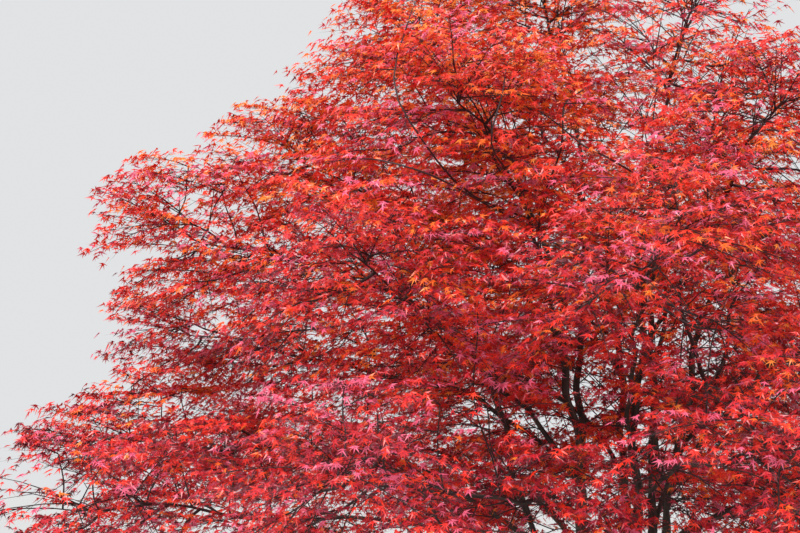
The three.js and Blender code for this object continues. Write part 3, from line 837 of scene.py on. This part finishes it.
def growLeaves(chosen, name, material):  # the chosen leaves of both forms, at most leavesInPiece to a piece
    pieces = []
    parts = math.ceil(len(chosen) / tintDeal["leavesInPiece"])
    for k, part in enumerate(np.array_split(chosen, parts)):
        byForm = [
            leafArrays(part[leafForms[part] == number], form) for number, form in enumerate(leaf["forms"])
        ]
        pieceName = name if parts == 1 else f"{name}_{k + 1}"
        pieces.append(makePiece(pieceName, *joinParts(byForm), material, smooth=False))
    return pieces


# Autumn tints from dark to bright. Each is dealt below its edge of warmth, which painted shade lowers in
# places, and the pale pink last tint is dealt by chance: it is a painted sheen, the sky's reflection on
# glossy leaves.
tints = {
    "maroon": (104, 14, 30), "wine": (162, 20, 46), "crimson": (206, 30, 44), "red": (234, 44, 34),
    # the pale pink last tint is painted sheen: the sky's reflection on glossy leaves, given as a leaf colour
    "scarlet": (250, 58, 30), "vermilion": (255, 108, 26), "orange": (253, 136, 44), "paintedSheen": (234, 96, 128),
}
tintDeal = {
    "edges": (0.04, 0.17, 0.35, 0.53, 0.73, 0.91), "roughness": 0.38, "sheen": 0.52, "leavesInPiece": 28000,
    # the share of sprays, growing with reach, and of their shoots that get the pale pink painted sheen
    "paintedSheen": 0.3, "paintedSheenShoots": 0.36, "paintedSheenByReach": 0.03, "paintedSheenReach": (1, 3),
    # byHeight gives lower leaves darker tints: partly their own autumn colour, partly painted shade low in
    # the crown
    "middle": 0.52, "byHeight": 0.07, "height": 2.8, "byReach": -0.07, "reach": 1.8,
    "bySpray": 0.11, "byShoot": 0.12, "byLeaf": 0.17, "byPatch": 0.13, "patchSize": 1.6, "patchSeed": 21,
    "places": (  # where it is warmer, and where it is darker as painted shade of the low front middle and the inside of the crown: middle, size and change
        ((-0.9, -2.3, 1.6), 1.2, -0.15), ((0.1, -1.4, 2.2), 0.9, -0.06), ((-2.5, -0.4, 3.3), 1.0, 0.12),
        ((-1.2, -1.4, 3.3), 1.0, 0.14), ((-0.9, -0.6, 2.5), 0.8, -0.06),
    ),
}


# Warmth is middle + byHeight (z - height) + byReach (r - reach) + byPatch waves, with a normal draw for each
# spray, shoot and leaf, and change exp(-|p - place|^2 / size^2) for each place. Lower warmth deals darker
# tints: the fall with height is partly the leaves' own colour and partly painted shade, and a negative change
# at a place is painted shade.
def dealTints(points, sprayIds, shootIds):
    deal = tintDeal
    bySpray = dice.normal(0, deal["bySpray"], sprayIds.max() + 1)[sprayIds]
    byShoot = dice.normal(0, deal["byShoot"], shootIds.max() + 1)[shootIds]
    outwards = np.linalg.norm(points[:, :2], axis=1)
    # lower down the tints are darker: partly the leaves' own colour, partly painted shade
    warmthAndShade = deal["middle"] + deal["byHeight"] * (points[:, 2] - deal["height"])
    warmthAndShade = warmthAndShade + bySpray + byShoot
    patches = waves(points, deal["patchSize"], deal["patchSeed"])
    warmthAndShade += deal["byReach"] * (outwards - deal["reach"]) + deal["byPatch"] * patches
    warmthAndShade += dice.normal(0, deal["byLeaf"], len(points))
    # a place with a negative change darkens the tints there as painted shade
    for place, size, change in deal["places"]:
        warmthAndShade += change * np.exp(-np.sum((points - place) ** 2, axis=1) / size ** 2)
    # painted sheen: the pale pink tint for the sky's reflection, on shoots of sprays drawn by chance, more of
    # them farther out
    first, most = deal["paintedSheenReach"]
    paintedSheenShare = deal["paintedSheen"] + deal["paintedSheenByReach"] * np.clip(outwards - first, 0, most)
    paintedSheenSprays = dice.uniform(0, 1, sprayIds.max() + 1)[sprayIds] < paintedSheenShare
    scattered = dice.uniform(0, 1, shootIds.max() + 1)[shootIds] < deal["paintedSheenShoots"]
    return np.where(paintedSheenSprays & scattered, len(deal["edges"]) + 1, np.digitize(warmthAndShade, deal["edges"]))


# The camera stands where the photograph was taken from and looks a little up
shot = {"place": (-1.39, -9.3, 1.6), "pitch": 9, "lens": 63, "sensor": 36, "farthest": 1000}


def placeCamera():
    camera = putInScene("shotCamera", bpy.data.cameras.new("shotCamera"))
    camera.data.lens = shot["lens"]
    camera.data.sensor_width = shot["sensor"]
    camera.location = shot["place"]
    camera.rotation_euler = (math.radians(90 + shot["pitch"]), 0, 0)
    camera.data.dof.use_dof = False
    camera.data.clip_end = shot["farthest"]
    bpy.context.scene.camera = camera


studio = {
    "floorSize": 600, "floor": (187, 187, 186), "floorRoughness": 0.9,
    "sky": {"Color": (0.97, 0.98, 1.0, 1), "Strength": 0.78}, "sun": 3.0, "sunAngle": 14,
    "sunTurn": (38, 0, -28),
}


def placeStudio():
    half = studio["floorSize"] / 2
    corners = np.array([[-half, -half, 0], [half, -half, 0], [half, half, 0], [-half, half, 0]])
    pale = plainMaterial("paleFloor", *studio["floor"], studio["floorRoughness"])
    floor = makePiece("floor", corners, [np.array([[0, 1, 2, 3]])], pale, smooth=False)
    bpy.context.scene.view_settings.view_transform = "Standard"
    world = bpy.data.worlds.new("studio")
    bpy.context.scene.world = world
    world.use_nodes = True
    setSockets(world.node_tree.nodes["Background"], studio["sky"])
    sun = putInScene("softSun", bpy.data.lights.new("softSun", "SUN"))
    sun.data.energy = studio["sun"]
    sun.data.angle = math.radians(studio["sunAngle"])
    sun.rotation_euler = [math.radians(x) for x in studio["sunTurn"]]


twigLook = {"colour": (58, 36, 36), "roughness": 0.6}

placeCamera()
placeStudio()
bark = barkMaterial()
shootBark = plainMaterial("shootBark", *twigLook["colour"], twigLook["roughness"])

stems = [limb for limb in limbs if limb["stem"]]
boughs = [limb for limb in limbs if not limb["stem"]]
trunkPiece = growTrunk(bark)
stemPiece = growLimbs(stems, fork["share"] - fork["blendShare"], "stem_bark", bark)
boughPiece = growLimbs(boughs, 0, "bough_bark", bark)
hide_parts("trunk")
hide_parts(*[limb["name"] for limb in stems])
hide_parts(*[limb["name"] + "_bough" for limb in boughs])


# The twigs, sprays, shoots and leaves of every limb. Those of its mass stay where there is room for them.
def fillAll():
    got = {k: [] for k in ("lines", "sprays", "starts", "ends", "roots", "ways", "sprayIds", "shootIds")}
    sprayCount, shootCount = 0, 0
    for limb in limbs:
        grownSets = ((True, growMass(limb)), (False, growInner(limb)), (False, growRisers(limb)))
        for inMass, (someLines, someSprays) in grownSets:
            if not someSprays:
                continue
            got["lines"] += someLines
            got["sprays"] += someSprays
            (starts, ends), roots, ways, sprayIds, shootIds = fillSprays(someSprays)
            starts, ends = starts.reshape(-1, 3), ends.reshape(-1, 3)
            grown = dice.uniform(0, 1, len(ends)) > openTo.get(limb["name"], 0)
            grown &= ~inBays(ends) | (dice.uniform(0, 1, len(ends)) < bays["kept"])
            if inMass:
                grown &= roomAt(limb, starts) > 0
                inside = (roomAt(limb, roots) > gaps["leafRoom"]) & grown[shootIds]
                shown = (roomAt(limb, ends) > 0) & grown
            else:
                inside, shown = grown[shootIds], grown
            inside &= clearOfLimbs(roots, gaps["leafToLimb"])
            shown &= clearOfLimbs(ends, gaps["shootToLimb"])
            kept = {
                "starts": starts[shown], "ends": ends[shown], "roots": roots[inside], "ways": ways[inside],
                "sprayIds": sprayIds[inside] + sprayCount, "shootIds": shootIds[inside] + shootCount,
            }
            for key, values in kept.items():
                got[key].append(values)
            sprayCount += len(someSprays)
            shootCount += len(ends)
    return {k: v if k in ("lines", "sprays") else np.concatenate(v) for k, v in got.items()}


grown = fillAll()
lines, sprays, leafRoots, leafWays = (grown[k] for k in ("lines", "sprays", "roots", "ways"))
say(f"{len(lines)} twigs, {len(sprays)} sprays, {len(leafRoots)} leaves")


# Twigs as bent tubes, spray axes as thin ones, and shoots as three-sided spikes from start to end
def twigPieces():
    t = np.linspace(0, 1, twigs["rings"])[:, None]
    paths = np.stack([onTwig(twig, t) for twig in lines])
    foot = np.array([twig["foot"] for twig in lines])[:, None, None]
    tip = np.array([twig["tip"] for twig in lines])[:, None, None]
    radii = (foot + (tip - foot) * t) * np.ones(twigs["sides"])
    v, q, e = tubeArrays(paths, radii)
    twigPiece = makePiece("twigs", v, [q, e], shootBark)
    s = np.linspace(0, 1, spray["axisRings"])[None, :, None]
    root, along, length = (np.array(column)[:, None] for column in list(zip(*sprays))[:3])
    length = length[..., None]
    paths = root + along * length * s - up * spray["sag"] * length * s ** 2
    radii = spray["axisRadius"] * (1 - spray["axisTaper"] * s) * np.ones((len(sprays), 1, spray["axisSides"]))
    v, q, e = tubeArrays(paths, radii)
    starts, ends = grown["starts"], grown["ends"]
    way = unit(ends - starts)
    side = sideOf(way)
    over = np.cross(side, way)
    a = anglesAround(3)
    ring = side[:, None] * np.cos(a)[:, None] + over[:, None] * np.sin(a)[:, None]
    spikes = np.concatenate([starts[:, None] + ring * shoot["radius"], ends[:, None]], axis=1)
    corners = np.array([[0, 2, 1], [0, 1, 3], [1, 2, 3], [2, 0, 3]])
    faces = (corners[None] + (np.arange(len(starts)) * 4)[:, None, None]).reshape(-1, 3)
    verts = np.concatenate([v, spikes.reshape(-1, 3)])
    return [twigPiece, makePiece("shoots", verts, [q, e, faces + len(v)], shootBark)]


massNames = [limb["name"].replace("_stem", "") + "_foliage" for limb in limbs]
leafTints = dealTints(leafRoots, grown["sprayIds"], grown["shootIds"])
finer = leaf["finerFront"] * smoothStep(-leafRoots[:, 1], *leaf["finerOver"])
leafSizes = dice.uniform(*leaf["sizes"], len(leafRoots)) * (1 - finer)
leafDroops = np.radians(dice.uniform(*leaf["droop"], len(leafRoots)))
leafRolls = np.radians(dice.uniform(-leaf["roll"], leaf["roll"], len(leafRoots)))
leafTilts = dice.uniform(*leaf["tilt"], len(leafRoots))
leafForms = (dice.uniform(0, 1, len(leafRoots)) < leaf["sevenShare"]).astype(int)
leafPieces = []
for k, (tintName, colour) in enumerate(tints.items()):
    material = plainMaterial(tintName + "Leaf", *colour, tintDeal["roughness"], tintDeal["sheen"])
    leafPieces += growLeaves(np.flatnonzero(leafTints == k), "leaves_" + tintName, material)

woodyPieces = twigPieces()
for piece in leafPieces + woodyPieces:
    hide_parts(*massNames)
for piece in [trunkPiece, stemPiece, boughPiece] + woodyPieces:
    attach(piece, "root")
for piece in leafPieces:
    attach(piece, "root")

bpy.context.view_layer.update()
say("finished")
